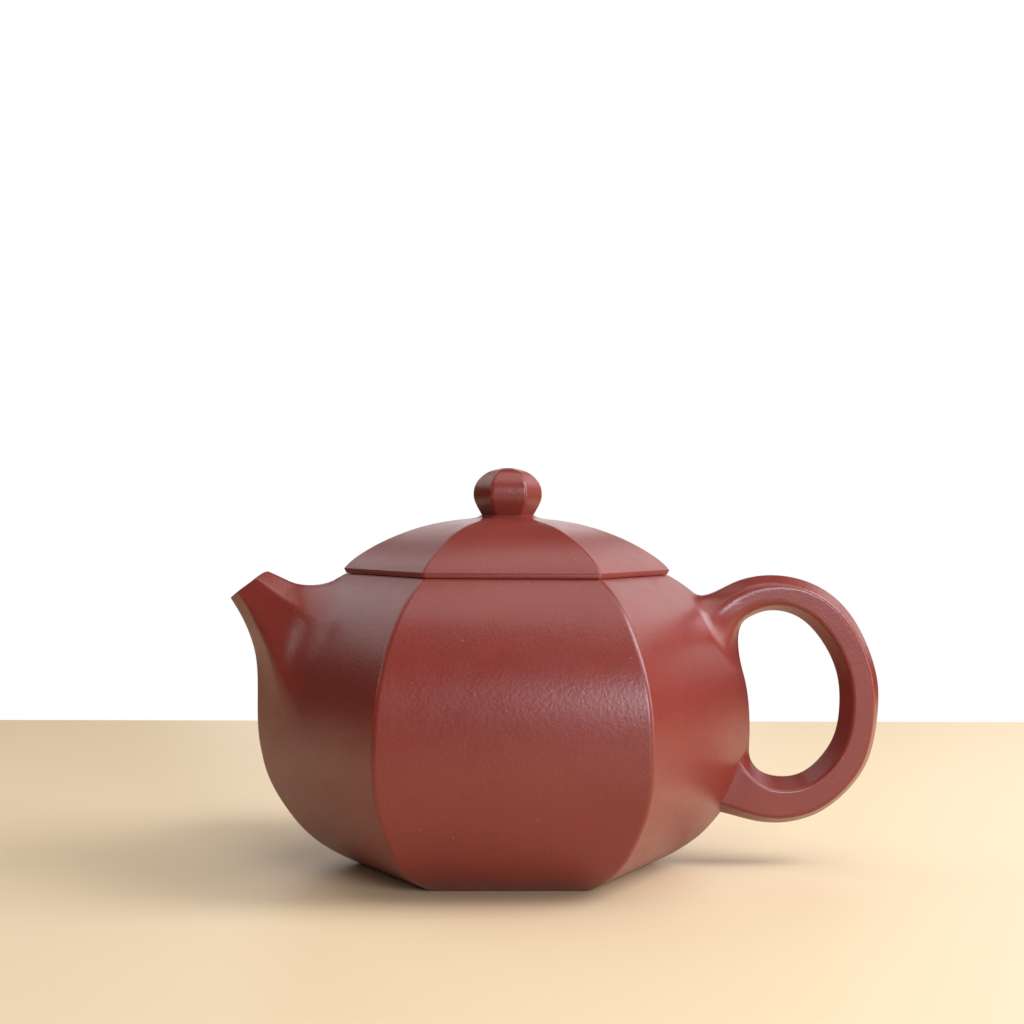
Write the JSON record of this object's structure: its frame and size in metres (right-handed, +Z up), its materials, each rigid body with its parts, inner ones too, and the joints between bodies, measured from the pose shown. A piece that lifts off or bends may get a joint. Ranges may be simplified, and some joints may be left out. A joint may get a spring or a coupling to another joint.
{
  "type": "yixing clay teapot",
  "caption": "Small six-sided unglazed purple clay teapot with a short spout, loop handle and lift-off domed lid, for brewing and pouring tea.",
  "frame": {"origin": "centre of the foot, in the plane the pot stands on", "axes": "+X from the spout towards the handle, +Y to the back, +Z up through the knob"},
  "size_m": [0.1413, 0.092, 0.0857],
  "materials": {
    "pot_clay": "satin unglazed brick-red zisha clay, burnished, fine sand grain",
    "lid_clay": "satin unglazed brick-red zisha clay, burnished, fine sand grain"
  },
  "bodies": {
    "pot": {"base_slab": "pot_clay", "wall_front": "pot_clay", "wall_front_right": "pot_clay", "wall_back_right": "pot_clay", "wall_back": "pot_clay", "wall_back_left": "pot_clay", "wall_front_left": "pot_clay", "mouth_rim": "pot_clay", "spout": "pot_clay", "strainer": "pot_clay", "handle": "pot_clay"},
    "lid": {"lid_plate": "lid_clay", "lid_dome": "lid_clay", "lid_flange": "lid_clay", "knob": "lid_clay"}
  },
  "joints": [
    {"name": "lid_lift", "type": "slide", "parent": "pot", "child": "lid", "axis": [0, 0, 1], "range_m": [0, 0.06]}
  ]
}
